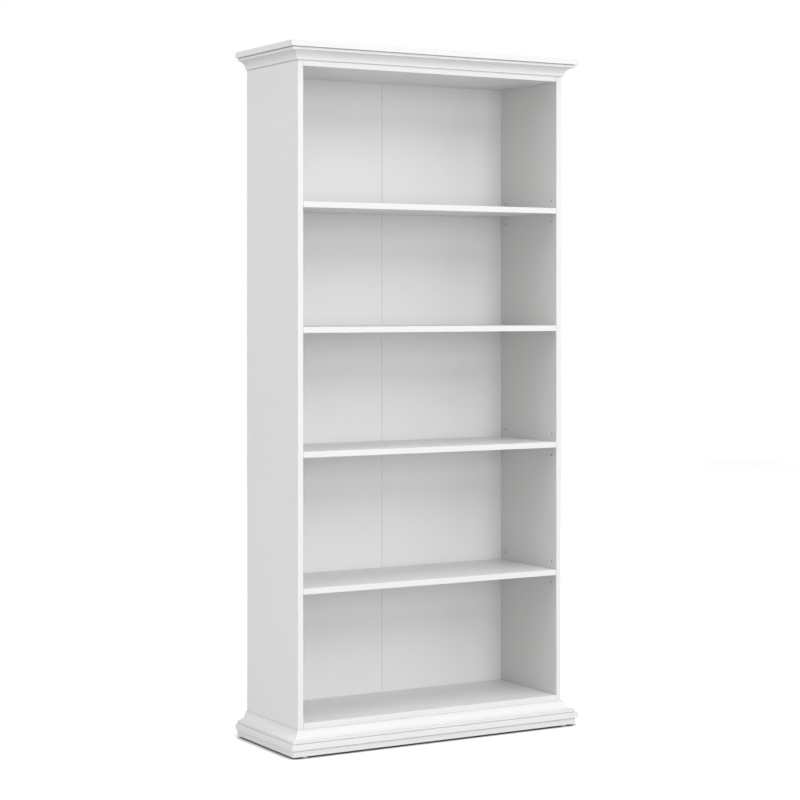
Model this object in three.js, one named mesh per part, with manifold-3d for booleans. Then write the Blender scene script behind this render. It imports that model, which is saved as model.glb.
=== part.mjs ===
// Free-standing bookcase: a white foiled carcass between a stepped base and a mitred cornice,
// one fixed shelf, and three shelves that stand on loose steel pins in rows of drilled holes.
// Millimetres, +Z up, front towards -Y, origin on the floor under the middle of the whole piece.

import * as THREE from 'three';
import { mergeVertices } from 'three/addons/utils/BufferGeometryUtils.js';
import Module from 'manifold-3d';

// Overall sizes
const overallHeight = 1920;
const carcassWidth = 854;
const carcassDepth = 312;

// Board stock
const boardThickness = 16;
const backThickness = 3;

// Cap board, base board, and the mouldings under and over them
const capOverhang = 36; // cap and base boards stand out past the carcass at the front and sides
const mouldingInset = 7; // face of the moulding's fillet, behind the edge of the cap board
const filletHeight = 8;
const coveRadius = 24;
const plinthHeight = 18;
const plinthInset = 6; // face of the plinth, behind the edge of the base board

// Clear heights between the boards, from the bottom up. The top space takes what is left.
const firstSpace = 346;
const secondSpace = 352;
const thirdSpace = 320;
const fourthSpace = 322.5;

// Loose shelves, their pins and the rows of holes
const shelfEndGap = 0.5; // each end of a loose shelf, to the side panel
const backGap = 1; // rear edge of each inner board, to the back
const pinRadius = 2.5;
const pinFit = 0.1; // round a pin in its hole
const pinSeat = 10; // length of a pin in the side panel
const pinReach = 8; // length of a pin under the shelf
const pinChamfer = 0.6;
const pinInset = 25; // centre of a pin, from the shelf's front or rear edge
const holePitch = 30.5;
const holeEndGap = 1; // bottom of a hole, past the end of the pin
const notchSideGap = 0.4; // each side of a pin in its notch
const notchTopGap = 0.1;
const notchEndGap = 2; // end of the notch, past a pin that is drawn right out

// Back, in two halves that slide into grooves and meet on the middle line
const grooveInset = 15; // rear edge of the side panel, to the rear wall of its groove
const grooveDepth = 6;
const grooveFit = 0.2; // each face of the back in its groove
const backEdgeGap = 0.5; // outer edges of the back, to what holds them
const backJointGap = 0.5;
const tapeWidth = 38;
const tapeThickness = 0.4;

// Cam fittings that draw the side panels onto the base and the cornice
const camRadius = 7.5;
const camBackWall = 4.5; // back of a cam, past the middle of the board
const camFit = 0.3;
const camPanelGap = 0.5; // edge of a cam, to the face of the panel next to it
const camFrontInset = 66;
const camRearInset = 60;
const driveSlotLength = 9;
const driveSlotWidth = 1.8;
const driveSlotDepth = 1.4;
const boltHeadRadius = 3.2;
const boltHeadLength = 2.6;
const boltNeckRadius = 1.6;
const boltNeckLength = 7;
const boltShankRadius = 3;
const boltThreadRadius = 2.4;
const boltThreadLength = 11;
const boltPoint = 1.4;
const boltRoom = 0.6; // round the bolt in the side panel and in the cam
const threadFit = 0.2; // round a thread or nail, and past its end

// Glides nailed under the front and rear plinths
const glideHeight = 5;
const glideRadius = 7.5;
const glideChamfer = 1.6;
const glideNailRadius = 1.3;
const glideNailLength = 14;
const glideInset = 38; // centre of a glide, from the end of the front plinth

// Fineness of round shapes
const coveSteps = 8;
const rodSteps = 12;
const discSteps = 24;

// Planes and places that follow from the sizes above
const halfWidth = carcassWidth / 2;
const innerHalf = halfWidth - boardThickness;
const rearY = (carcassDepth + capOverhang) / 2;
const frontY = rearY - carcassDepth;
const mouldingHeight = filletHeight + coveRadius;
const filletOut = capOverhang - mouldingInset;
const plinthOut = capOverhang - plinthInset;
const baseBoardZ = glideHeight + plinthHeight;
const baseMouldingZ = baseBoardZ + boardThickness;
const sideBottomZ = baseMouldingZ + mouldingHeight;
const capBoardZ = overallHeight - boardThickness;
const sideTopZ = capBoardZ - mouldingHeight;
const grooveRearY = rearY - grooveInset;
const backRearY = grooveRearY - grooveFit;
const backFrontY = backRearY - backThickness;
const boardRearY = backFrontY - backGap;
const boltX = innerHalf + boardThickness / 2;
const glideX = halfWidth + plinthOut - glideInset;
const holeDepth = pinSeat + holeEndGap;
const camReach = boardThickness + camPanelGap + camRadius; // centre of a cam, from the panel's end
const camThickness = boardThickness / 2 + camBackWall;
const cut = 1; // how far a cutting shape runs past the face it opens

const sides = { left: -1, right: 1 };
const pinPlaces = { front: frontY + pinInset, rear: boardRearY - pinInset };
const camPlaces = { front: frontY + camFrontInset, rear: rearY - camRearInset };
const glidePlaces = { front: frontY - plinthOut + boardThickness / 2, rear: rearY - boardThickness / 2 };

// Undersides of the boards between the side panels
const bottomPanelZ = sideBottomZ;
const topPanelZ = sideTopZ - boardThickness;
const firstShelfZ = bottomPanelZ + boardThickness + firstSpace;
const secondShelfZ = firstShelfZ + boardThickness + secondSpace;
const fixedShelfZ = secondShelfZ + boardThickness + thirdSpace;
const thirdShelfZ = fixedShelfZ + boardThickness + fourthSpace;
const looseShelfZ = { 1: firstShelfZ, 2: secondShelfZ, 3: thirdShelfZ };

const foil = { color: 0xf1f1ef, roughness: 0.4, metalness: 0 };
const hardboard = { color: 0xececea, roughness: 0.5, metalness: 0 };
const tape = { color: 0xe2e0da, roughness: 0.7, metalness: 0 };
const steel = { color: 0xb9bcc0, roughness: 0.3, metalness: 1 };
const zinc = { color: 0xa3a6a9, roughness: 0.45, metalness: 1 };
const plastic = { color: 0xe4e4e0, roughness: 0.5, metalness: 0 };

const wasm = await Module();
wasm.setup();
const bookcase = new THREE.Group();

function section(name) {
  const group = new THREE.Group();
  group.name = name;
  bookcase.add(group);
  return group;
}

function add(group, name, geometry, finish) {
  geometry.computeVertexNormals();
  const mesh = new THREE.Mesh(geometry, new THREE.MeshStandardMaterial(finish));
  mesh.name = name;
  group.add(mesh);
  return mesh;
}

// A rectangular board between three pairs of planes, with its faces exactly on them.
function block(xPair, yPair, zPair) {
  const geometry = new THREE.BoxGeometry(1, 1, 1);
  const corner = geometry.attributes.position;
  const [x, y, z] = [xPair, yPair, zPair].map((pair) => [Math.min(...pair), Math.max(...pair)]);
  for (let i = 0; i < corner.count; i += 1) {
    corner.setX(i, corner.getX(i) < 0 ? x[0] : x[1]);
    corner.setY(i, corner.getY(i) < 0 ? y[0] : y[1]);
    corner.setZ(i, corner.getZ(i) < 0 ? z[0] : z[1]);
  }
  return geometry;
}

// A turned piece round the Z axis, from [radius, height] points that rise from axis to axis.
function turned(profile, steps) {
  const points = profile.map(([radius, height]) => new THREE.Vector2(radius, height));
  return new THREE.LatheGeometry(points, steps).rotateX(Math.PI / 2);
}

function rod(radius, from, to, steps = rodSteps) {
  return turned([[0, from], [radius, from], [radius, to], [0, to]], steps);
}

// A rod lying along X, from the inner face of a side panel outwards on that side.
function sideRod(side, radius, from, to, y, z, steps = rodSteps) {
  const geometry = rod(radius, from, to, steps).rotateY(side * Math.PI / 2);
  return geometry.translate(side * innerHalf, y, z);
}

function solid(geometry) {
  const bare = geometry.clone();
  bare.deleteAttribute('normal');
  bare.deleteAttribute('uv');
  const merged = mergeVertices(bare, 1e-4);
  const index = merged.index.array;
  const triangles = [];
  for (let i = 0; i < index.length; i += 3) {
    const [a, b, c] = index.slice(i, i + 3);
    if (a !== b && b !== c && c !== a) triangles.push(a, b, c);
  }
  const vertProperties = new Float32Array(merged.attributes.position.array);
  const triVerts = new Uint32Array(triangles);
  return new wasm.Manifold(new wasm.Mesh({ numProp: 3, vertProperties, triVerts }));
}

function carve(geometry, cutters) {
  let piece = solid(geometry);
  for (const cutter of cutters) piece = piece.subtract(solid(cutter));
  const mesh = piece.getMesh();
  const carved = new THREE.BufferGeometry();
  carved.setAttribute('position', new THREE.BufferAttribute(mesh.vertProperties, 3));
  carved.setIndex(new THREE.BufferAttribute(mesh.triVerts, 1));
  return carved;
}

// A rail round the front and sides. Its outline is drawn as [distance out from the carcass,
// height], and its ends are mitred where front and side rails meet.
function frontRail(outline) {
  return rail(outline, (out, end) => [(end ? -1 : 1) * (halfWidth + out), frontY - out]);
}

function sideRail(side, outline) {
  const rearEnd = side < 0 ? 1 : 0;
  return rail(outline, (out, end) => [side * (halfWidth + out), end === rearEnd ? rearY : frontY - out]);
}

function rail(outline, place) {
  const options = { depth: 1, steps: 1, bevelEnabled: false, curveSegments: coveSteps };
  const geometry = new THREE.ExtrudeGeometry(outline, options);
  const corner = geometry.attributes.position;
  for (let i = 0; i < corner.count; i += 1) {
    const height = corner.getY(i);
    const [x, y] = place(corner.getX(i), Math.round(corner.getZ(i)));
    corner.setXYZ(i, x, y, height);
  }
  return geometry;
}

function corniceOutline() {
  const outline = new THREE.Shape();
  outline.moveTo(-boardThickness, sideTopZ);
  outline.absarc(filletOut, sideTopZ, coveRadius, Math.PI, Math.PI / 2, true);
  outline.lineTo(filletOut, capBoardZ);
  outline.lineTo(-boardThickness, capBoardZ);
  return outline;
}

function baseMouldingOutline() {
  const outline = new THREE.Shape();
  outline.moveTo(-boardThickness, baseMouldingZ);
  outline.lineTo(filletOut, baseMouldingZ);
  outline.absarc(filletOut, sideBottomZ, coveRadius, -Math.PI / 2, -Math.PI, true);
  outline.lineTo(-boardThickness, sideBottomZ);
  return outline;
}

function plinthOutline() {
  const outline = new THREE.Shape();
  outline.moveTo(plinthOut - boardThickness, glideHeight);
  outline.lineTo(plinthOut, glideHeight);
  outline.lineTo(plinthOut, baseBoardZ);
  outline.lineTo(plinthOut - boardThickness, baseBoardZ);
  return outline;
}

// Hole for the thread of a cam bolt, in a moulding that the side panel's end stands on or under.
// Heights run down from the lower end of the panel, or up from the upper end.
function threadHoles(side, endZ, away) {
  return Object.values(camPlaces).map((y) => {
    const depth = boltThreadLength + threadFit;
    const from = Math.min(endZ - away * cut, endZ + away * depth);
    const to = Math.max(endZ - away * cut, endZ + away * depth);
    return rod(boltThreadRadius + threadFit, from, to).translate(side * boltX, y, 0);
  });
}

function sidePanel(side) {
  const panel = block([side * innerHalf, side * halfWidth], [frontY, rearY], [sideBottomZ, sideTopZ]);
  const groove = block(
    [side * (innerHalf - cut), side * (innerHalf + grooveDepth)],
    [backFrontY - grooveFit, grooveRearY],
    [sideBottomZ - cut, sideTopZ + cut],
  );
  const cutters = [groove];
  for (const shelfZ of Object.values(looseShelfZ)) {
    for (const y of Object.values(pinPlaces)) {
      for (const step of [-1, 0, 1]) {
        const z = shelfZ + boardThickness / 2 + step * holePitch;
        cutters.push(sideRod(side, pinRadius + pinFit, -cut, holeDepth, y, z));
      }
    }
  }
  for (const y of Object.values(camPlaces)) {
    for (const [endZ, inward] of [[sideBottomZ, 1], [sideTopZ, -1]]) {
      const camZ = endZ + inward * camReach;
      cutters.push(sideRod(side, camRadius + camFit, -cut, camThickness + camFit, y, camZ, discSteps));
      const from = Math.min(endZ - inward * cut, camZ);
      const to = Math.max(endZ - inward * cut, camZ);
      cutters.push(rod(boltShankRadius + boltRoom, from, to).translate(side * boltX, y, 0));
    }
  }
  return carve(panel, cutters);
}

function looseShelf(shelfZ) {
  const end = innerHalf - shelfEndGap;
  const board = block([-end, end], [frontY, boardRearY], [shelfZ, shelfZ + boardThickness]);
  const notchEnd = innerHalf - pinReach - pinSeat - notchEndGap;
  const notchTop = shelfZ + boardThickness / 2 + pinRadius + notchTopGap;
  const notchHalf = pinRadius + notchSideGap;
  const cutters = [];
  for (const side of Object.values(sides)) {
    for (const y of Object.values(pinPlaces)) {
      const across = [side * notchEnd, side * (innerHalf + cut)];
      cutters.push(block(across, [y - notchHalf, y + notchHalf], [shelfZ - cut, notchTop]));
    }
  }
  return carve(board, cutters);
}

// A steel pin along Z with chamfered ends. Height 0 is the face of the side panel.
function shelfPin() {
  const tip = pinRadius - pinChamfer;
  return turned([
    [0, -pinReach],
    [tip, -pinReach],
    [pinRadius, -pinReach + pinChamfer],
    [pinRadius, pinSeat - pinChamfer],
    [tip, pinSeat],
    [0, pinSeat],
  ], rodSteps);
}

// A cam in the inner face of a side panel, with a pocket for the bolt's head, a slot for its
// neck on the side that the bolt comes from, and a cross recess for the driver.
function cam(side, y, z, towardBolt) {
  const disc = sideRod(side, camRadius, 0, camThickness, y, z, discSteps);
  const headHalf = boltHeadRadius + boltRoom;
  const neckHalf = boltNeckRadius + boltRoom;
  const headEnd = boltHeadLength / 2 + boltRoom;
  const x = side * boltX;
  const pocket = block([x - headHalf, x + headHalf], [y - headHalf, y + headHalf], [z - headEnd, z + headEnd]);
  const neckRoom = [z, z + towardBolt * (camRadius + cut)];
  const slot = block([x - neckHalf, x + neckHalf], [y - neckHalf, y + neckHalf], neckRoom);
  const face = [side * (innerHalf - cut), side * (innerHalf + driveSlotDepth)];
  const long = driveSlotLength / 2;
  const thin = driveSlotWidth / 2;
  const across = block(face, [y - long, y + long], [z - thin, z + thin]);
  const upright = block(face, [y - thin, y + thin], [z - long, z + long]);
  return carve(disc, [pocket, slot, across, upright]);
}

// A cam bolt along Z. Height 0 is the joint that it crosses, and the head is at the top.
function camBolt() {
  const headBottom = camReach - boltHeadLength / 2;
  return turned([
    [0, -boltThreadLength],
    [boltThreadRadius - boltPoint, -boltThreadLength],
    [boltThreadRadius, -boltThreadLength + boltPoint],
    [boltThreadRadius, 0],
    [boltShankRadius, 0],
    [boltShankRadius, headBottom - boltNeckLength],
    [boltNeckRadius, headBottom - boltNeckLength],
    [boltNeckRadius, headBottom],
    [boltHeadRadius, headBottom],
    [boltHeadRadius, headBottom + boltHeadLength],
    [0, headBottom + boltHeadLength],
  ], rodSteps);
}

function glide() {
  return turned([
    [0, 0],
    [glideRadius - glideChamfer, 0],
    [glideRadius, glideChamfer],
    [glideRadius, glideHeight],
    [glideNailRadius, glideHeight],
    [glideNailRadius, glideHeight + glideNailLength - glideNailRadius],
    [0, glideHeight + glideNailLength],
  ], rodSteps);
}

function buildCarcass() {
  const group = section('carcass');
  add(group, 'left_side_panel', sidePanel(sides.left), foil);
  add(group, 'right_side_panel', sidePanel(sides.right), foil);
  const fixedBoards = { bottom_panel: bottomPanelZ, fixed_shelf: fixedShelfZ, top_panel: topPanelZ };
  for (const [name, z] of Object.entries(fixedBoards)) {
    add(group, name, block([-innerHalf, innerHalf], [frontY, boardRearY], [z, z + boardThickness]), foil);
  }
}

function buildBack() {
  const group = section('back');
  const height = [sideBottomZ + backEdgeGap, sideTopZ - backEdgeGap];
  const outerEdge = innerHalf + grooveDepth - backEdgeGap;
  for (const [name, side] of Object.entries(sides)) {
    const across = [side * backJointGap / 2, side * outerEdge];
    add(group, `back_panel_${name}`, block(across, [backFrontY, backRearY], height), hardboard);
  }
  const tapeDepth = [backRearY, backRearY + tapeThickness];
  add(group, 'back_joint_tape', block([-tapeWidth / 2, tapeWidth / 2], tapeDepth, height), tape);
}

// Holes in the front or rear plinth for the nails of its two glides.
function glideNailHoles(y) {
  const top = glideHeight + glideNailLength + threadFit;
  return Object.values(sides).map((side) => {
    return rod(glideNailRadius + threadFit, glideHeight - cut, top).translate(side * glideX, y, 0);
  });
}

function buildBase() {
  const group = section('base');
  const boardEnd = halfWidth + capOverhang;
  const boardDepth = [frontY - capOverhang, rearY];
  add(group, 'base_board', block([-boardEnd, boardEnd], boardDepth, [baseBoardZ, baseMouldingZ]), foil);
  add(group, 'plinth_front', carve(frontRail(plinthOutline()), glideNailHoles(glidePlaces.front)), foil);
  add(group, 'base_moulding_front', frontRail(baseMouldingOutline()), foil);
  for (const [name, side] of Object.entries(sides)) {
    add(group, `plinth_${name}`, sideRail(side, plinthOutline()), foil);
    const moulding = carve(sideRail(side, baseMouldingOutline()), threadHoles(side, sideBottomZ, -1));
    add(group, `base_moulding_${name}`, moulding, foil);
  }
  const rearRail = [rearY - boardThickness, rearY];
  const plinthEnd = halfWidth + plinthOut - boardThickness;
  const plinthRear = block([-plinthEnd, plinthEnd], rearRail, [glideHeight, baseBoardZ]);
  add(group, 'plinth_rear', carve(plinthRear, glideNailHoles(glidePlaces.rear)), foil);
  add(group, 'base_rear_rail', block([-innerHalf, innerHalf], rearRail, [baseMouldingZ, sideBottomZ]), foil);
}

function buildCornice() {
  const group = section('cornice');
  const boardEnd = halfWidth + capOverhang;
  const boardDepth = [frontY - capOverhang, rearY];
  add(group, 'cap_board', block([-boardEnd, boardEnd], boardDepth, [capBoardZ, overallHeight]), foil);
  add(group, 'cornice_front', frontRail(corniceOutline()), foil);
  for (const [name, side] of Object.entries(sides)) {
    const moulding = carve(sideRail(side, corniceOutline()), threadHoles(side, sideTopZ, 1));
    add(group, `cornice_${name}`, moulding, foil);
  }
  const rearRail = [rearY - boardThickness, rearY];
  add(group, 'cornice_rear_rail', block([-innerHalf, innerHalf], rearRail, [sideTopZ, capBoardZ]), foil);
}

function buildShelves() {
  const group = section('shelves');
  for (const [number, shelfZ] of Object.entries(looseShelfZ)) {
    add(group, `adjustable_shelf_${number}`, looseShelf(shelfZ), foil);
    for (const [sideName, side] of Object.entries(sides)) {
      for (const [placeName, y] of Object.entries(pinPlaces)) {
        const pin = add(group, `shelf_pin_${number}_${sideName}_${placeName}`, shelfPin(), steel);
        pin.rotation.y = side * Math.PI / 2;
        pin.position.set(side * innerHalf, y, shelfZ + boardThickness / 2);
      }
    }
  }
}

function buildFittings() {
  const group = section('fittings');
  const ends = { lower: { z: sideBottomZ, inward: 1 }, upper: { z: sideTopZ, inward: -1 } };
  for (const [sideName, side] of Object.entries(sides)) {
    for (const [placeName, y] of Object.entries(camPlaces)) {
      for (const [endName, end] of Object.entries(ends)) {
        const place = `${endName}_${sideName}_${placeName}`;
        const camZ = end.z + end.inward * camReach;
        add(group, `cam_${place}`, cam(side, y, camZ, -end.inward), zinc);
        const bolt = add(group, `cam_bolt_${place}`, camBolt(), zinc);
        bolt.rotation.x = end.inward > 0 ? 0 : Math.PI;
        bolt.position.set(side * boltX, y, end.z);
      }
    }
    for (const [placeName, y] of Object.entries(glidePlaces)) {
      add(group, `glide_${sideName}_${placeName}`, glide(), plastic).position.set(side * glideX, y, 0);
    }
  }
}

buildBase();
buildCarcass();
buildBack();
buildCornice();
buildShelves();
buildFittings();

export default bookcase;
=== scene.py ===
import math

import bpy
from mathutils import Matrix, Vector


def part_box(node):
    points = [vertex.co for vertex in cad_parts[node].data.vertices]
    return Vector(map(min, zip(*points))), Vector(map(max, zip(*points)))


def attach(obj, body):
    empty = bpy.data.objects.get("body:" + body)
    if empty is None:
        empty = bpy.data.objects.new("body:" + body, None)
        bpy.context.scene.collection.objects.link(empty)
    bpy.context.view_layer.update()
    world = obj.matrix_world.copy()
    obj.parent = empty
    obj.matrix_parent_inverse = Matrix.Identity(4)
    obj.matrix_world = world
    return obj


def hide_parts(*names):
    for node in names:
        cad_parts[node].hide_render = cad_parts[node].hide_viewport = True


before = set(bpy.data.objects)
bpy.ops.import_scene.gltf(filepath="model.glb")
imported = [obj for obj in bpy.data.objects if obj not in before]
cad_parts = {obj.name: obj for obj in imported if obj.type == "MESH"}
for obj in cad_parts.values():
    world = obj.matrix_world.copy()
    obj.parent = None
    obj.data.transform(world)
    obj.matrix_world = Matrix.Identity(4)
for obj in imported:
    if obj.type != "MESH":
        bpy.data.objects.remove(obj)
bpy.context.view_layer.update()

sideNames = ("left", "right")
placeNames = ("front", "rear")
print("frame loaded:", len(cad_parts), "nodes")

# camera, seen a little from the left, level, with the horizon at half the height of the bookcase
cameraSetup = {
    "place": (-3.0204, -5.1567, 1.2188), "turn": -30.106,
    "lens": 94.6, "sensor": 36.0, "shiftUp": -0.1217,
}

bpy.ops.object.camera_add(
    location=cameraSetup["place"], rotation=(math.radians(90), 0, math.radians(cameraSetup["turn"])))
camera = bpy.context.active_object
camera.name = "camera"
camera.data.lens = cameraSetup["lens"]
camera.data.sensor_width = cameraSetup["sensor"]
camera.data.shift_y = cameraSetup["shiftUp"]
camera.data.clip_end = 60
bpy.context.scene.camera = camera

# soft boxes: place, size and watts, all pointed at the middle of the bookcase
boxTarget = (0.0, 0.0, 0.95)
softBoxes = {
    "frontBox": {"place": (-0.6, -14.0, 2.0), "size": (8.0, 6.0), "power": 610.0},
    "frontHighBox": {"place": (0.7, -12.0, 9.5), "size": (8.0, 6.0), "power": 790.0},
    "rightBox": {"place": (9.0, -9.0, 5.0), "size": (7.0, 6.0), "power": 250.0},
    "topBox": {"place": (0.0, -3.0, 12.0), "size": (8.0, 6.0), "power": 525.0},
    "leftBox": {"place": (-9.5, -2.0, 6.5), "size": (6.0, 6.0), "power": 248.0},
    "leftRearBox": {"place": (-8.6, 4.6, 5.0), "size": (6.0, 6.0), "power": 345.0},
}
worldLight = {"dome": 0.39, "seen": 1.0}


def addSoftBox(name, box):
    aim = Vector(boxTarget) - Vector(box["place"])
    bpy.ops.object.light_add(
        type="AREA", location=box["place"], rotation=aim.to_track_quat("-Z", "Y").to_euler())
    light = bpy.context.active_object
    light.name = name
    light.data.shape = "RECTANGLE"
    light.data.size, light.data.size_y = box["size"]
    light.data.energy = box["power"]
    light.visible_camera = False


for boxName, box in softBoxes.items():
    addSoftBox(boxName, box)


def addDome():
    world = bpy.data.worlds.new("studio")
    bpy.context.scene.world = world
    world.use_nodes = True
    nodes, links = world.node_tree.nodes, world.node_tree.links
    nodes.clear()
    out = nodes.new("ShaderNodeOutputWorld")
    pick = nodes.new("ShaderNodeMixShader")
    path = nodes.new("ShaderNodeLightPath")
    dome = nodes.new("ShaderNodeBackground")
    seen = nodes.new("ShaderNodeBackground")
    dome.inputs["Color"].default_value = (1.0, 1.0, 0.995, 1)
    dome.inputs["Strength"].default_value = worldLight["dome"]
    seen.inputs["Strength"].default_value = worldLight["seen"]
    seen.inputs["Color"].default_value = (1, 1, 1, 1)
    links.new(path.outputs["Is Camera Ray"], pick.inputs["Fac"])
    links.new(dome.outputs["Background"], pick.inputs[1])
    links.new(seen.outputs["Background"], pick.inputs[2])
    links.new(pick.outputs["Shader"], out.inputs["Surface"])


addDome()
bpy.context.scene.view_settings.view_transform = "Standard"
bpy.context.scene.view_settings.look = "None"

# pale floor: a wide sheet just under the glides, lit like a studio sweep and seen brighter by the
# camera;
# close to what stands on it, its colour is darkened by a painted contact shadow
floorLook = {
    "size": 15.0, "tone": 0.68, "seenTone": 1.55, "shadeTone": 0.22,
    "shadeReach": 0.1, "shadeFrom": 0.15, "shadeTo": 1.0,
}


def addFloor():
    look = floorLook
    bpy.ops.mesh.primitive_plane_add(size=look["size"], location=(0, 0, -0.0002))
    floor = bpy.context.active_object
    floor.name = "floor"
    sheet = bpy.data.materials.new("floorSheet")
    sheet.use_nodes = True
    nodes, links = sheet.node_tree.nodes, sheet.node_tree.links
    nodes.remove(nodes["Principled BSDF"])
    matt = nodes.new("ShaderNodeBsdfDiffuse")
    path = nodes.new("ShaderNodeLightPath")
    # painted contact shadow: ambient occlusion darkens the floor colour the camera sees beside and
    # under the bookcase
    paintedContactShadow = nodes.new("ShaderNodeAmbientOcclusion")
    paintedContactShadow.inputs["Distance"].default_value = look["shadeReach"]
    shade = nodes.new("ShaderNodeMapRange")
    shade.inputs["From Min"].default_value = look["shadeFrom"]
    shade.inputs["From Max"].default_value = look["shadeTo"]
    shade.inputs["To Min"].default_value = look["shadeTone"]
    shade.inputs["To Max"].default_value = look["seenTone"]
    tone = nodes.new("ShaderNodeMapRange")
    tone.inputs["To Min"].default_value = look["tone"]
    links.new(paintedContactShadow.outputs["AO"], shade.inputs["Value"])
    links.new(path.outputs["Is Camera Ray"], tone.inputs["Value"])
    links.new(shade.outputs["Result"], tone.inputs["To Max"])
    links.new(tone.outputs["Result"], matt.inputs["Color"])
    links.new(matt.outputs["BSDF"], nodes["Material Output"].inputs["Surface"])
    floor.data.materials.append(sheet)


addFloor()
print("camera, lights and floor placed")


# modelling helpers
def deselectAll():
    bpy.ops.object.select_all(action="DESELECT")


def activate(piece):
    deselectAll()
    piece.select_set(True)
    bpy.context.view_layer.objects.active = piece


def settle(piece):
    activate(piece)
    bpy.ops.object.transform_apply(location=True, rotation=True, scale=True)


def addBlock(name, low, high):
    deselectAll()
    bpy.ops.mesh.primitive_cube_add(size=1, location=(Vector(low) + Vector(high)) / 2)
    piece = bpy.context.active_object
    piece.name = name
    piece.scale = Vector(high) - Vector(low)
    settle(piece)
    return piece


def addRod(name, radius, start, end, sides=32):
    along = Vector(end) - Vector(start)
    deselectAll()
    bpy.ops.mesh.primitive_cylinder_add(
        vertices=sides, radius=radius, depth=along.length,
        location=(Vector(start) + Vector(end)) / 2, rotation=along.to_track_quat("Z", "Y").to_euler())
    piece = bpy.context.active_object
    piece.name = name
    settle(piece)
    return piece


# a turned piece: a disc is pulled up step by step, and each step is widened or narrowed
def addTurned(name, steps, sides=32):
    deselectAll()
    radius, height = steps[0]
    bpy.ops.mesh.primitive_circle_add(
        vertices=sides, radius=radius, fill_type="NGON", location=(0, 0, height))
    piece = bpy.context.active_object
    piece.name = name
    settle(piece)
    bpy.ops.object.mode_set(mode="EDIT")
    bpy.ops.mesh.select_all(action="SELECT")
    for nextRadius, nextHeight in steps[1:]:
        rise = (0, 0, nextHeight - height)
        bpy.ops.mesh.extrude_region_move(TRANSFORM_OT_translate={"value": rise})
        widen = nextRadius / radius
        bpy.ops.transform.resize(value=(widen, widen, 1), center_override=(0, 0, nextHeight))
        radius, height = nextRadius, nextHeight
    bpy.ops.mesh.select_all(action="SELECT")
    bpy.ops.mesh.normals_make_consistent(inside=False)
    bpy.ops.object.mode_set(mode="OBJECT")
    return piece


def place(piece, where, turn=(0, 0, 0)):
    piece.location = where
    piece.rotation_euler = turn
    settle(piece)
    return piece


def copyOf(piece, name):
    twin = piece.copy()
    twin.data = piece.data.copy()
    twin.name = name
    bpy.context.collection.objects.link(twin)
    return twin


def joined(pieces):
    activate(pieces[0])
    for piece in pieces[1:]:
        piece.select_set(True)
    bpy.ops.object.join()
    return bpy.context.active_object


# edges are picked by where both ends lie, then rounded
def roundEdges(piece, width, segments=3, wanted=None):
    activate(piece)
    bpy.ops.object.mode_set(mode="EDIT")
    bpy.ops.mesh.select_all(action="DESELECT")
    bpy.ops.object.mode_set(mode="OBJECT")
    for edge in piece.data.edges:
        ends = [piece.data.vertices[i].co for i in edge.vertices]
        edge.select = wanted is None or wanted(ends[0], ends[1])
    bpy.ops.object.mode_set(mode="EDIT")
    bpy.ops.mesh.select_mode(type="EDGE")
    bpy.ops.mesh.bevel(offset=width, segments=segments, affect="EDGES", clamp_overlap=True)
    bpy.ops.object.mode_set(mode="OBJECT")


def softenEdges(piece, width, segments=2, angle=40):
    activate(piece)
    bevel = piece.modifiers.new("soft edges", "BEVEL")
    bevel.width = width
    bevel.segments = segments
    bevel.limit_method = "ANGLE"
    bevel.angle_limit = math.radians(angle)
    bpy.ops.object.modifier_apply(modifier=bevel.name)


def cutAway(piece, cutters):
    tool = joined(cutters) if len(cutters) > 1 else cutters[0]
    activate(piece)
    cut = piece.modifiers.new("cut", "BOOLEAN")
    cut.operation = "DIFFERENCE"
    cut.solver = "EXACT"
    cut.use_self = True
    cut.object = tool
    bpy.ops.object.modifier_apply(modifier=cut.name)
    bpy.data.objects.remove(tool, do_unlink=True)


# mitre: everything on the far side of an upright plane is cut off and the cut is closed
def mitre(piece, point, keepTowards):
    activate(piece)
    bpy.ops.object.mode_set(mode="EDIT")
    bpy.ops.mesh.select_all(action="SELECT")
    bpy.ops.mesh.bisect(plane_co=point, plane_no=keepTowards, use_fill=True, clear_inner=True)
    bpy.ops.object.mode_set(mode="OBJECT")


def smoothFinish(piece, angle=35):
    activate(piece)
    bpy.ops.object.mode_set(mode="EDIT")
    bpy.ops.mesh.select_all(action="SELECT")
    bpy.ops.mesh.remove_doubles(threshold=0.000002)
    bpy.ops.mesh.normals_make_consistent(inside=False)
    bpy.ops.object.mode_set(mode="OBJECT")
    bpy.ops.object.shade_smooth_by_angle(angle=math.radians(angle))
    weighted = piece.modifiers.new("flat faces stay flat", "WEIGHTED_NORMAL")
    weighted.keep_sharp = True
    bpy.ops.object.modifier_apply(modifier=weighted.name)


# faces that face one way within a slab take the second material
def paintFaces(piece, index, wanted):
    for face in piece.data.polygons:
        if wanted(face.center, face.normal):
            face.material_index = index


def dress(piece, body, materials, nodes=()):
    for material in materials:
        piece.data.materials.append(material)
    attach(piece, body)
    if nodes:
        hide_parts(*nodes)


# shader groups shared by several materials
def newGroup(name, inputs, outputs):
    group = bpy.data.node_groups.new(name, "ShaderNodeTree")
    for socketName, kind, value in inputs:
        socket = group.interface.new_socket(socketName, in_out="INPUT", socket_type=kind)
        socket.default_value = value
    for socketName, kind in outputs:
        group.interface.new_socket(socketName, in_out="OUTPUT", socket_type=kind)
    return group, group.nodes.new("NodeGroupInput"), group.nodes.new("NodeGroupOutput")


def mathNode(nodes, operation, a=None, b=None):
    node = nodes.new("ShaderNodeMath")
    node.operation = operation
    if a is not None:
        node.inputs[0].default_value = a
    if b is not None:
        node.inputs[1].default_value = b
    return node


def noiseNode(nodes, scale, detail=2.0, roughness=0.5):
    node = nodes.new("ShaderNodeTexNoise")
    node.inputs["Scale"].default_value = scale
    node.inputs["Detail"].default_value = detail
    node.inputs["Roughness"].default_value = roughness
    return node


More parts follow.
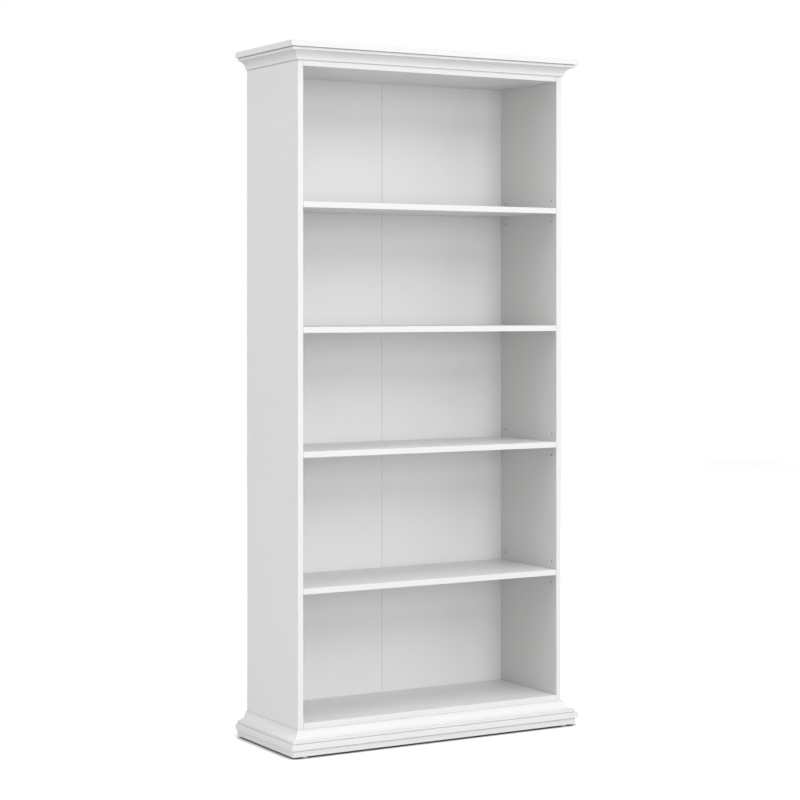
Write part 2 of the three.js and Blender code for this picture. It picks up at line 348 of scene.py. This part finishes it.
def rangeNode(nodes, low, high, newLow, newHigh):
    node = nodes.new("ShaderNodeMapRange")
    node.inputs["From Min"].default_value = low
    node.inputs["From Max"].default_value = high
    node.inputs["To Min"].default_value = newLow
    node.inputs["To Max"].default_value = newHigh
    return node


# pores: short strokes along the grain, with a fine orange-peel between them
def buildPores():
    group, given, out = newGroup(
        "foilPores",
        [("Vector", "NodeSocketVector", (0, 0, 0)), ("Stretch", "NodeSocketVector", (1, 1, 1)),
         ("Depth", "NodeSocketFloat", 1.0)],
        [("Height", "NodeSocketFloat"), ("Mask", "NodeSocketFloat")])
    nodes, links = group.nodes, group.links
    stretch = nodes.new("ShaderNodeVectorMath")
    stretch.operation = "MULTIPLY"
    strokes = noiseNode(nodes, 900, 3.0, 0.55)
    pores = rangeNode(nodes, 0.36, 0.5, 0.0, 1.0)
    peel = noiseNode(nodes, 1600, 1.0)
    peelShare = mathNode(nodes, "MULTIPLY", b=0.35)
    total = mathNode(nodes, "ADD")
    scaled = mathNode(nodes, "MULTIPLY")
    links.new(given.outputs["Vector"], stretch.inputs[0])
    links.new(given.outputs["Stretch"], stretch.inputs[1])
    links.new(stretch.outputs["Vector"], strokes.inputs["Vector"])
    links.new(strokes.outputs["Fac"], pores.inputs["Value"])
    links.new(given.outputs["Vector"], peel.inputs["Vector"])
    links.new(peel.outputs["Fac"], peelShare.inputs[0])
    links.new(pores.outputs["Result"], total.inputs[0])
    links.new(peelShare.outputs["Value"], total.inputs[1])
    links.new(total.outputs["Value"], scaled.inputs[0])
    links.new(given.outputs["Depth"], scaled.inputs[1])
    links.new(scaled.outputs["Value"], out.inputs["Height"])
    links.new(pores.outputs["Result"], out.inputs["Mask"])
    return group


# mottle: a slow drift of tone and a faint film of dust and handling
def buildMottle():
    group, given, out = newGroup(
        "surfaceMottle",
        [("Vector", "NodeSocketVector", (0, 0, 0)), ("Color", "NodeSocketColor", (0.8, 0.8, 0.8, 1)),
         ("Drift", "NodeSocketFloat", 0.015), ("Roughness", "NodeSocketFloat", 0.4),
         ("Smear", "NodeSocketFloat", 0.06)],
        [("Color", "NodeSocketColor"), ("Roughness", "NodeSocketFloat")])
    nodes, links = group.nodes, group.links
    slow = noiseNode(nodes, 3.5, 3.0)
    fine = noiseNode(nodes, 60, 2.0)
    both = mathNode(nodes, "ADD")
    centred = mathNode(nodes, "SUBTRACT", b=1.0)
    drift = mathNode(nodes, "MULTIPLY")
    gain = mathNode(nodes, "ADD", b=1.0)
    tint = nodes.new("ShaderNodeVectorMath")
    tint.operation = "SCALE"
    smear = mathNode(nodes, "MULTIPLY")
    rough = mathNode(nodes, "ADD")
    links.new(given.outputs["Vector"], slow.inputs["Vector"])
    links.new(given.outputs["Vector"], fine.inputs["Vector"])
    links.new(slow.outputs["Fac"], both.inputs[0])
    links.new(fine.outputs["Fac"], both.inputs[1])
    links.new(both.outputs["Value"], centred.inputs[0])
    links.new(centred.outputs["Value"], drift.inputs[0])
    links.new(given.outputs["Drift"], drift.inputs[1])
    links.new(drift.outputs["Value"], gain.inputs[0])
    links.new(given.outputs["Color"], tint.inputs[0])
    links.new(gain.outputs["Value"], tint.inputs["Scale"])
    links.new(tint.outputs["Vector"], out.inputs["Color"])
    links.new(centred.outputs["Value"], smear.inputs[0])
    links.new(given.outputs["Smear"], smear.inputs[1])
    links.new(smear.outputs["Value"], rough.inputs[0])
    links.new(given.outputs["Roughness"], rough.inputs[1])
    links.new(rough.outputs["Value"], out.inputs["Roughness"])
    return group


# chips: pressed flakes, each with its own tone, in a darker glue line
def buildChips():
    group, given, out = newGroup(
        "pressedChips",
        [("Vector", "NodeSocketVector", (0, 0, 0)), ("Stretch", "NodeSocketVector", (1, 1, 1)),
         ("Scale", "NodeSocketFloat", 450.0),
         ("Light", "NodeSocketColor", (0.55, 0.4, 0.24, 1)),
         ("Dark", "NodeSocketColor", (0.2, 0.12, 0.06, 1))],
        [("Color", "NodeSocketColor"), ("Height", "NodeSocketFloat")])
    nodes, links = group.nodes, group.links
    stretch = nodes.new("ShaderNodeVectorMath")
    stretch.operation = "MULTIPLY"
    warp = noiseNode(nodes, 90, 2.0)
    bend = nodes.new("ShaderNodeVectorMath")
    bend.operation = "MULTIPLY_ADD"
    bend.inputs[1].default_value = (0.004, 0.004, 0.004)
    flakes = nodes.new("ShaderNodeTexVoronoi")
    tones = nodes.new("ShaderNodeSeparateColor")
    fibre = noiseNode(nodes, 2200, 2.0)
    blend = mathNode(nodes, "MULTIPLY_ADD", b=0.65)
    share = mathNode(nodes, "MULTIPLY", b=0.35)
    mix = nodes.new("ShaderNodeMix")
    mix.data_type = "RGBA"
    links.new(given.outputs["Vector"], stretch.inputs[0])
    links.new(given.outputs["Stretch"], stretch.inputs[1])
    links.new(given.outputs["Vector"], warp.inputs["Vector"])
    links.new(warp.outputs["Color"], bend.inputs[0])
    links.new(stretch.outputs["Vector"], bend.inputs[2])
    links.new(bend.outputs["Vector"], flakes.inputs["Vector"])
    links.new(given.outputs["Scale"], flakes.inputs["Scale"])
    links.new(flakes.outputs["Color"], tones.inputs["Color"])
    links.new(given.outputs["Vector"], fibre.inputs["Vector"])
    links.new(fibre.outputs["Fac"], share.inputs[0])
    links.new(tones.outputs["Red"], blend.inputs[0])
    links.new(share.outputs["Value"], blend.inputs[2])
    links.new(blend.outputs["Value"], mix.inputs["Factor"])
    links.new(given.outputs["Dark"], mix.inputs["A"])
    links.new(given.outputs["Light"], mix.inputs["B"])
    links.new(mix.outputs["Result"], out.inputs["Color"])
    links.new(blend.outputs["Value"], out.inputs["Height"])
    return group


# turning marks: fine scratches round or along a metal piece
def buildScratches():
    group, given, out = newGroup(
        "toolMarks",
        [("Vector", "NodeSocketVector", (0, 0, 0)), ("Stretch", "NodeSocketVector", (1, 1, 1)),
         ("Roughness", "NodeSocketFloat", 0.3)],
        [("Height", "NodeSocketFloat"), ("Roughness", "NodeSocketFloat")])
    nodes, links = group.nodes, group.links
    stretch = nodes.new("ShaderNodeVectorMath")
    stretch.operation = "MULTIPLY"
    marks = noiseNode(nodes, 1400, 4.0, 0.6)
    spread = rangeNode(nodes, 0.3, 0.7, -0.08, 0.14)
    rough = mathNode(nodes, "ADD")
    links.new(given.outputs["Vector"], stretch.inputs[0])
    links.new(given.outputs["Stretch"], stretch.inputs[1])
    links.new(stretch.outputs["Vector"], marks.inputs["Vector"])
    links.new(marks.outputs["Fac"], spread.inputs["Value"])
    links.new(spread.outputs["Result"], rough.inputs[0])
    links.new(given.outputs["Roughness"], rough.inputs[1])
    links.new(marks.outputs["Fac"], out.inputs["Height"])
    links.new(rough.outputs["Value"], out.inputs["Roughness"])
    return group


poresGroup = buildPores()
mottleGroup = buildMottle()
chipsGroup = buildChips()
marksGroup = buildScratches()


def newMaterial(name):
    material = bpy.data.materials.new(name)
    material.use_nodes = True
    nodes = material.node_tree.nodes
    where = nodes.new("ShaderNodeTexCoord").outputs["Object"]
    return material, nodes, material.node_tree.links, nodes["Principled BSDF"], where


def addGroup(nodes, group, values):
    node = nodes.new("ShaderNodeGroup")
    node.node_tree = group
    for socketName, value in values.items():
        node.inputs[socketName].default_value = value
    return node


def addBump(nodes, links, shader, height, strength, distance):
    bump = nodes.new("ShaderNodeBump")
    bump.inputs["Strength"].default_value = strength
    bump.inputs["Distance"].default_value = distance
    links.new(height, bump.inputs["Height"])
    links.new(bump.outputs["Normal"], shader.inputs["Normal"])


foilLook = {
    "tone": (0.66, 0.66, 0.656, 1), "drift": 0.012, "roughness": 0.42, "smear": 0.08,
    "poreStrength": 0.12, "poreDepth": 0.00006, "specular": 0.45,
}


# satin foil with its grain along one axis
def foilMaterial(name, stretch):
    material, nodes, links, shader, where = newMaterial(name)
    mottle = addGroup(nodes, mottleGroup, {
        "Color": foilLook["tone"], "Drift": foilLook["drift"],
        "Roughness": foilLook["roughness"], "Smear": foilLook["smear"]})
    pores = addGroup(nodes, poresGroup, {"Stretch": stretch})
    links.new(where, mottle.inputs["Vector"])
    links.new(where, pores.inputs["Vector"])
    links.new(mottle.outputs["Color"], shader.inputs["Base Color"])
    links.new(mottle.outputs["Roughness"], shader.inputs["Roughness"])
    shader.inputs["Specular IOR Level"].default_value = foilLook["specular"]
    addBump(
        nodes, links, shader, pores.outputs["Height"], foilLook["poreStrength"], foilLook["poreDepth"])
    return material


foilUpright = foilMaterial("foilUpright", (1.0, 1.0, 0.06))
foilAcross = foilMaterial("foilAcross", (0.06, 1.0, 1.0))
foilDeep = foilMaterial("foilDeep", (1.0, 0.06, 1.0))


def coreMaterial(name, scale, light, dark, stretch):
    material, nodes, links, shader, where = newMaterial(name)
    chips = addGroup(nodes, chipsGroup, {
        "Scale": scale, "Light": light, "Dark": dark, "Stretch": stretch})
    links.new(where, chips.inputs["Vector"])
    links.new(chips.outputs["Color"], shader.inputs["Base Color"])
    shader.inputs["Roughness"].default_value = 0.85
    addBump(nodes, links, shader, chips.outputs["Height"], 0.5, 0.0003)
    return material


chipCore = coreMaterial(
    "chipCore", 420.0, (0.50, 0.40, 0.28, 1), (0.24, 0.175, 0.115, 1), (0.45, 1, 0.45))
fibreCore = coreMaterial(
    "fibreCore", 1500.0, (0.46, 0.33, 0.20, 1), (0.30, 0.20, 0.12, 1), (1, 1, 1))


def lacquerMaterial():
    material, nodes, links, shader, where = newMaterial("whiteLacquer")
    mottle = addGroup(nodes, mottleGroup, {
        "Color": foilLook["tone"], "Drift": 0.01, "Roughness": 0.5, "Smear": 0.08})
    pores = addGroup(nodes, poresGroup, {"Stretch": (0.8, 0.8, 0.5), "Depth": 0.6})
    links.new(where, mottle.inputs["Vector"])
    links.new(where, pores.inputs["Vector"])
    links.new(mottle.outputs["Color"], shader.inputs["Base Color"])
    links.new(mottle.outputs["Roughness"], shader.inputs["Roughness"])
    addBump(nodes, links, shader, pores.outputs["Height"], 0.1, 0.00005)
    return material


screenPitch = 0.0016


# rear of the hardboard: brown fibres with the print of the press screen
def screenMaterial():
    material, nodes, links, shader, where = newMaterial("brownHardboard")
    chips = addGroup(nodes, chipsGroup, {
        "Scale": 700.0, "Stretch": (1, 1, 0.6),
        "Light": (0.34, 0.20, 0.105, 1), "Dark": (0.21, 0.115, 0.055, 1)})
    split = nodes.new("ShaderNodeSeparateXYZ")
    weave = mathNode(nodes, "MULTIPLY")
    for axis, socket in (("X", 0), ("Z", 1)):
        rate = mathNode(nodes, "MULTIPLY", b=2 * math.pi / screenPitch)
        wave = mathNode(nodes, "SINE")
        links.new(split.outputs[axis], rate.inputs[0])
        links.new(rate.outputs["Value"], wave.inputs[0])
        links.new(wave.outputs["Value"], weave.inputs[socket])
    both = mathNode(nodes, "ADD")
    links.new(where, split.inputs["Vector"])
    links.new(where, chips.inputs["Vector"])
    links.new(weave.outputs["Value"], both.inputs[0])
    links.new(chips.outputs["Height"], both.inputs[1])
    links.new(chips.outputs["Color"], shader.inputs["Base Color"])
    shader.inputs["Roughness"].default_value = 0.75
    addBump(nodes, links, shader, both.outputs["Value"], 0.5, 0.0002)
    return material


def metalMaterial(name, tone, roughness, stretch, strength):
    material, nodes, links, shader, where = newMaterial(name)
    marks = addGroup(nodes, marksGroup, {"Stretch": stretch, "Roughness": roughness})
    mottle = addGroup(nodes, mottleGroup, {"Color": tone, "Drift": 0.06})
    links.new(where, marks.inputs["Vector"])
    links.new(where, mottle.inputs["Vector"])
    links.new(mottle.outputs["Color"], shader.inputs["Base Color"])
    links.new(marks.outputs["Roughness"], shader.inputs["Roughness"])
    shader.inputs["Metallic"].default_value = 1.0
    addBump(nodes, links, shader, marks.outputs["Height"], strength, 0.00005)
    return material


def plasticMaterial(name, tone, roughness):
    material, nodes, links, shader, where = newMaterial(name)
    mottle = addGroup(nodes, mottleGroup, {
        "Color": tone, "Drift": 0.02, "Roughness": roughness, "Smear": 0.1})
    peel = noiseNode(nodes, 3000, 2.0)
    links.new(where, mottle.inputs["Vector"])
    links.new(where, peel.inputs["Vector"])
    links.new(mottle.outputs["Color"], shader.inputs["Base Color"])
    links.new(mottle.outputs["Roughness"], shader.inputs["Roughness"])
    addBump(nodes, links, shader, peel.outputs["Fac"], 0.2, 0.00005)
    return material


whiteLacquer = lacquerMaterial()
brownHardboard = screenMaterial()
pinSteel = metalMaterial("pinSteel", (0.62, 0.63, 0.65, 1), 0.28, (0.05, 1, 1), 0.3)
camZinc = metalMaterial("camZinc", (0.45, 0.46, 0.47, 1), 0.45, (1, 1, 1), 0.6)
boltZinc = metalMaterial("boltZinc", (0.60, 0.61, 0.62, 1), 0.32, (1, 1, 0.1), 0.4)
nailSteel = metalMaterial("nailSteel", (0.50, 0.50, 0.51, 1), 0.35, (1, 1, 1), 0.4)
capPlastic = plasticMaterial("capPlastic", (0.65, 0.65, 0.645, 1), 0.42)
glidePlastic = plasticMaterial("glidePlastic", (0.34, 0.34, 0.33, 1), 0.5)
tapePaper = plasticMaterial("tapePaper", (0.62, 0.58, 0.50, 1), 0.8)
print("materials made")

# boards: foil wraps the faces, and the sawn rear edge shows the chips
boardLook = {"edgeRound": 0.0008, "segments": 3, "jointGap": 0.00045}


def isRearFace(centre, normal, low, high):
    return normal.y > 0.9 and centre.y > high.y - 0.0002


def addPlainBoard(node, material, core=chipCore, gap=0.0):
    low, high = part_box(node)
    inset = Vector((gap, 0, 0))
    board = addBlock(node + "_board", low + inset, high - inset)
    roundEdges(board, boardLook["edgeRound"], boardLook["segments"],
               lambda a, b: min(a.y, b.y) < high.y - 0.0001)
    smoothFinish(board)
    dress(board, "carcass", [material, core], [node])
    paintFaces(board, 1, lambda centre, normal: isRearFace(centre, normal, low, high))
    return board


for node in ("top_panel", "bottom_panel", "fixed_shelf"):
    addPlainBoard(node, foilAcross, gap=boardLook["jointGap"])
for node in ("cap_board", "base_board", "cornice_rear_rail", "base_rear_rail", "plinth_rear"):
    addPlainBoard(node, foilAcross)
print("plain boards made")

# side panels: a groove for the back, rows of pin holes, and pockets for the cams
sidePanelLook = {
    "grooveInset": 0.015, "grooveWidth": 0.0034, "grooveDepth": 0.006,
    "pitch": 0.0305, "holeRadius": 0.0026, "holeDepth": 0.011, "holeMouth": 0.0004,
    "pocketGap": 0.0003, "overrun": 0.001,
}


# a drill bit that widens where it meets the face
def drillBit(name, radius, depth, mouth, sides=28):
    steps = [(radius, -depth), (radius, -mouth), (radius + mouth, 0), (radius + mouth, 0.001)]
    return addTurned(name, steps, sides)


def addSidePanel(sideName):
    look = sidePanelLook
    node = sideName + "_side_panel"
    low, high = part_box(node)
    out = -1 if sideName == "left" else 1
    innerX = low.x if out > 0 else high.x
    panel = addBlock(node + "_board", low, high)
    roundEdges(panel, boardLook["edgeRound"], boardLook["segments"],
               lambda a, b: min(a.y, b.y) < high.y - 0.0001)
    grooveRear = high.y - look["grooveInset"]
    grooveAcross = sorted((innerX - out * look["overrun"], innerX + out * look["grooveDepth"]))
    cutters = [addBlock(
        "grooveCutter",
        (grooveAcross[0], grooveRear - look["grooveWidth"], low.z - look["overrun"]),
        (grooveAcross[1], grooveRear, high.z + look["overrun"]))]
    bit = drillBit("drill", look["holeRadius"], look["holeDepth"], look["holeMouth"])
    # the bit points down at first, so it is turned to point out through the panel
    turn = (0, math.radians(-90 * out), 0)
    for number in (1, 2, 3):
        for placeName in placeNames:
            pinLow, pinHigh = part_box("shelf_pin_%d_%s_%s" % (number, sideName, placeName))
            middle = (pinLow + pinHigh) / 2
            for step in (-1, 0, 1):
                twin = copyOf(bit, "drillCopy")
                cutters.append(place(twin, (innerX, middle.y, middle.z + step * look["pitch"]), turn))
    bpy.data.objects.remove(bit, do_unlink=True)
    for endName in ("lower", "upper"):
        for placeName in placeNames:
            camLow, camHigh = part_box("cam_%s_%s_%s" % (endName, sideName, placeName))
            middle = (camLow + camHigh) / 2
            radius = (camHigh.y - camLow.y) / 2 + look["pocketGap"]
            depth = camHigh.x - camLow.x + look["pocketGap"]
            cutters.append(addRod(
                "pocketCutter", radius,
                (innerX - out * look["overrun"], middle.y, middle.z),
                (innerX + out * depth, middle.y, middle.z), 40))
    cutAway(panel, cutters)
    smoothFinish(panel)
    dress(panel, "carcass", [foilUpright, chipCore], [node])
    paintFaces(panel, 1, lambda centre, normal: (
        isRearFace(centre, normal, low, high)
        or abs(centre.x - innerX) > 0.0005 and low.x + 0.001 < centre.x < high.x - 0.001
        and low.y + 0.001 < centre.y < high.y - 0.001))


for sideName in sideNames:
    addSidePanel(sideName)
print("side panels drilled")

# loose shelves: four open notches in the underside, where the pins hide
shelfLook = {"notchWidth": 0.0058, "notchLength": 0.0195, "notchAbovePin": 0.0001, "overrun": 0.002}


def addLooseShelf(number):
    look = shelfLook
    node = "adjustable_shelf_%d" % number
    low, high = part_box(node)
    shelf = addBlock(node + "_board", low, high)
    roundEdges(shelf, boardLook["edgeRound"], boardLook["segments"],
               lambda a, b: min(a.y, b.y) < high.y - 0.0001)
    cutters = []
    half = look["notchWidth"] / 2
    for sideName in sideNames:
        out = -1 if sideName == "left" else 1
        endX = low.x if out < 0 else high.x
        innerX = endX - out * look["notchLength"]
        for placeName in placeNames:
            pinLow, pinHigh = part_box("shelf_pin_%d_%s_%s" % (number, sideName, placeName))
            middle = (pinLow + pinHigh) / 2
            top = pinHigh.z + look["notchAbovePin"]
            across = sorted((innerX + out * half, endX + out * look["overrun"]))
            cutters.append(addBlock(
                "notchCutter",
                (across[0], middle.y - half, low.z - look["overrun"]),
                (across[1], middle.y + half, top)))
            cutters.append(addRod(
                "notchEnd", half, (innerX + out * half, middle.y, low.z - look["overrun"]),
                (innerX + out * half, middle.y, top), 24))
    cutAway(shelf, cutters)
    smoothFinish(shelf)
    dress(shelf, "shelf_%d" % number, [foilAcross, chipCore], [node])
    paintFaces(shelf, 1, lambda centre, normal: (
        isRearFace(centre, normal, low, high)
        or low.z + 0.001 < centre.z < high.z - 0.001 and low.x + 0.0002 < centre.x < high.x - 0.0002
        and centre.y > low.y + 0.001))


for number in (1, 2, 3):
    addLooseShelf(number)
print("loose shelves notched")

# mouldings: a bar with a cove run along its outer corner, mitred at the front corners
mouldingLook = {
    "coveRadius": 0.024, "coveSides": 128, "softEdge": 0.0005, "overrun": 0.01,
    "jointGap": 0.0009, "plinthGap": 0.0016,
}
panelLow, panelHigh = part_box("left_side_panel")
frontPlane = panelLow.y
halfWidth = -panelLow.x


def mitreBothWays(piece, isFront, sideName):
    out = -1 if sideName == "left" else 1
    paintedContactShadow = (out * halfWidth, frontPlane, 0)
    towardsFront = Vector((-out, -1, 0)).normalized()
    mitre(piece, paintedContactShadow, towardsFront if isFront else -towardsFront)


def addMoulding(node, coveAtTop, material):
    look = mouldingLook
    low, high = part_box(node)
    coveZ = high.z if coveAtTop else low.z
    # a hairline gap against the board that the fillet touches
    if coveAtTop:
        low.z += look["jointGap"]
    else:
        high.z -= look["jointGap"]
    bar = addBlock(node + "_bar", low, high)
    over = look["overrun"]
    if node.endswith("front"):
        start, end = (low.x - over, low.y, coveZ), (high.x + over, low.y, coveZ)
    else:
        outerX = low.x if node.endswith("left") else high.x
        start, end = (outerX, low.y - over, coveZ), (outerX, high.y + over, coveZ)
    cutAway(bar, [addRod("coveCutter", look["coveRadius"], start, end, look["coveSides"])])
    if node.endswith("front"):
        for sideName in sideNames:
            mitreBothWays(bar, True, sideName)
    else:
        mitreBothWays(bar, False, node.split("_")[-1])
    softenEdges(bar, look["softEdge"])
    smoothFinish(bar)
    dress(bar, "carcass", [material, fibreCore], [node])
    paintFaces(bar, 1, lambda centre, normal: isRearFace(centre, normal, low, high))


def addPlinthRail(node, material):
    low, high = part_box(node)
    high.z -= mouldingLook["plinthGap"]
    rail = addBlock(node + "_bar", low, high)
    if node.endswith("front"):
        for sideName in sideNames:
            mitreBothWays(rail, True, sideName)
    else:
        mitreBothWays(rail, False, node.split("_")[-1])
    softenEdges(rail, boardLook["edgeRound"])
    smoothFinish(rail)
    dress(rail, "carcass", [material, fibreCore], [node])
    paintFaces(rail, 1, lambda centre, normal: isRearFace(centre, normal, low, high))


for group, coveAtTop in (("cornice", False), ("base_moulding", True)):
    addMoulding(group + "_front", coveAtTop, foilAcross)
    for sideName in sideNames:
        addMoulding(group + "_" + sideName, coveAtTop, foilDeep)
addPlinthRail("plinth_front", foilAcross)
for sideName in sideNames:
    addPlinthRail("plinth_" + sideName, foilDeep)
print("mouldings and plinth mitred")

# back: two lacquered hardboard halves, a tape over their joint,
# and a row of nails into each fixed board
backLook = {
    "edgeRound": 0.0003, "tapeRound": 0.00015,
    "nailHead": 0.0017, "nailProud": 0.0006, "nailGap": 0.125, "nailSides": 12,
    "nailMargin": 0.03, "nailAside": 0.03,
}


def addBackHalf(sideName):
    node = "back_panel_" + sideName
    low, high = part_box(node)
    sheet = addBlock(node + "_sheet", low, high)
    roundEdges(sheet, backLook["edgeRound"], 2)
    smoothFinish(sheet)
    dress(sheet, "carcass", [whiteLacquer, brownHardboard], [node])
    paintFaces(sheet, 1, lambda centre, normal: normal.y > 0.5 or centre.y > low.y + 0.0005)


for sideName in sideNames:
    addBackHalf(sideName)

tapeLow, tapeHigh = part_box("back_joint_tape")
tape = addBlock("back_joint_strip", tapeLow, tapeHigh)
roundEdges(tape, backLook["tapeRound"], 2)
smoothFinish(tape)
dress(tape, "carcass", [tapePaper], ["back_joint_tape"])


def addNails():
    look = backLook
    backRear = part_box("back_panel_left")[1].y
    head = addTurned("nail", [
        (look["nailHead"] * 0.75, 0), (look["nailHead"], 0.0001),
        (look["nailHead"], look["nailProud"] * 0.7),
        (look["nailHead"] * 0.7, look["nailProud"])], look["nailSides"])
    place(head, (0, 0, 0), (math.radians(-90), 0, 0))
    head.data.materials.append(nailSteel)
    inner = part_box("top_panel")[1].x
    count = 0
    for node in ("bottom_panel", "fixed_shelf", "top_panel"):
        low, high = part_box(node)
        steps = int((inner - look["nailMargin"]) / look["nailGap"])
        for step in range(-steps, steps + 1):
            # the middle nail stands beside the joint
            across = step * look["nailGap"] if step else look["nailAside"]
            nail = copyOf(head, "back_nail_%02d" % count)
            place(nail, (across, backRear, (low.z + high.z) / 2))
            smoothFinish(nail, 50)
            dress(nail, "carcass", [])
            count += 1
    bpy.data.objects.remove(head, do_unlink=True)
    return count


print("back made with", addNails(), "nails")

# pins: straight steel rods with chamfered ends and a small turned neck under the shelf
pinLook = {"chamfer": 0.0006, "neck": 0.0003, "neckAt": 0.0012, "neckWidth": 0.0008, "sides": 28}


def addPins():
    look = pinLook
    low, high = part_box("shelf_pin_1_right_front")
    radius = (high.y - low.y) / 2
    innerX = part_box("right_side_panel")[0].x
    reach, seat = innerX - low.x, high.x - innerX
    neckFrom = -look["neckAt"] - look["neckWidth"]
    rod = addTurned("pin", [
        (radius - look["chamfer"], -reach), (radius, -reach + look["chamfer"]),
        (radius, neckFrom - look["neck"]), (radius - look["neck"], neckFrom),
        (radius - look["neck"], -look["neckAt"]), (radius, -look["neckAt"] + look["neck"]),
        (radius, seat - look["chamfer"]), (radius - look["chamfer"], seat)], look["sides"])
    smoothFinish(rod, 30)
    rod.data.materials.append(pinSteel)
    for number in (1, 2, 3):
        for sideName in sideNames:
            out = -1 if sideName == "left" else 1
            for placeName in placeNames:
                node = "shelf_pin_%d_%s_%s" % (number, sideName, placeName)
                low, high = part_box(node)
                middle = (low + high) / 2
                pin = copyOf(rod, node + "_rod")
                place(pin, (out * innerX, middle.y, middle.z), (0, math.radians(90 * out), 0))
                dress(pin, "pin_%d_%s_%s" % (number, sideName, placeName), [], [node])
    bpy.data.objects.remove(rod, do_unlink=True)


addPins()
print("pins made")

# caps over the cams: thin domed discs in white plastic
capLook = {"radius": 0.0086, "thick": 0.0007, "rim": 0.0002, "shift": 0.0012, "sides": 40}


def addCamCaps():
    look = capLook
    radius, thick = look["radius"], look["thick"]
    disc = addTurned("cap", [
        (radius, 0), (radius, look["rim"]), (radius - 0.0002, thick * 0.62),
        (radius - 0.0006, thick * 0.86), (radius * 0.8, thick * 0.96),
        (radius * 0.4, thick)], look["sides"])
    smoothFinish(disc, 40)
    disc.data.materials.append(capPlastic)
    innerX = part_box("right_side_panel")[0].x
    for sideName in sideNames:
        out = -1 if sideName == "left" else 1
        for endName in ("lower", "upper"):
            for placeName in placeNames:
                low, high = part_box("cam_%s_%s_%s" % (endName, sideName, placeName))
                middle = (low + high) / 2
                # the cap is shifted a little towards the open space, clear of the board next to it
                clear = look["shift"] if endName == "lower" else -look["shift"]
                cap = copyOf(disc, "cam_cap_%s_%s_%s" % (endName, sideName, placeName))
                place(cap, (out * innerX, middle.y, middle.z + clear), (0, math.radians(-90 * out), 0))
                dress(cap, "carcass", [])
    bpy.data.objects.remove(disc, do_unlink=True)


addCamCaps()
print("cam caps made")

# glides: a flat foot with a rounded rim, and a nail up into the plinth
glideLook = {
    "footRadius": 0.0075, "rim": 0.0016, "topRound": 0.0003,
    "nailRadius": 0.0013, "nailPoint": 0.002, "sides": 32,
}


def addGlides():
    look = glideLook
    low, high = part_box("glide_left_front")
    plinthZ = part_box("plinth_front")[0].z
    radius, rim, nail = look["footRadius"], look["rim"], look["nailRadius"]
    foot = addTurned("glide", [
        (radius - rim, 0), (radius - rim * 0.45, rim * 0.25),
        (radius - rim * 0.1, rim * 0.65), (radius, rim * 1.2),
        (radius, plinthZ - look["topRound"]), (radius - look["topRound"], plinthZ),
        (nail, plinthZ), (nail, high.z - look["nailPoint"]), (nail * 0.2, high.z)], look["sides"])
    smoothFinish(foot, 35)
    foot.data.materials.append(glidePlastic)
    for sideName in sideNames:
        for placeName in placeNames:
            node = "glide_%s_%s" % (sideName, placeName)
            low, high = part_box(node)
            middle = (low + high) / 2
            glide = copyOf(foot, node + "_foot")
            place(glide, (middle.x, middle.y, 0))
            dress(glide, "carcass", [], [node])
    bpy.data.objects.remove(foot, do_unlink=True)


addGlides()
print("glides made")

# cams and bolts keep their own solids
for node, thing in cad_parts.items():
    if node.startswith("cam_bolt"):
        finish = boltZinc
    elif node.startswith("cam_"):
        finish = camZinc
    else:
        continue
    thing.data.materials.clear()
    thing.data.materials.append(finish)
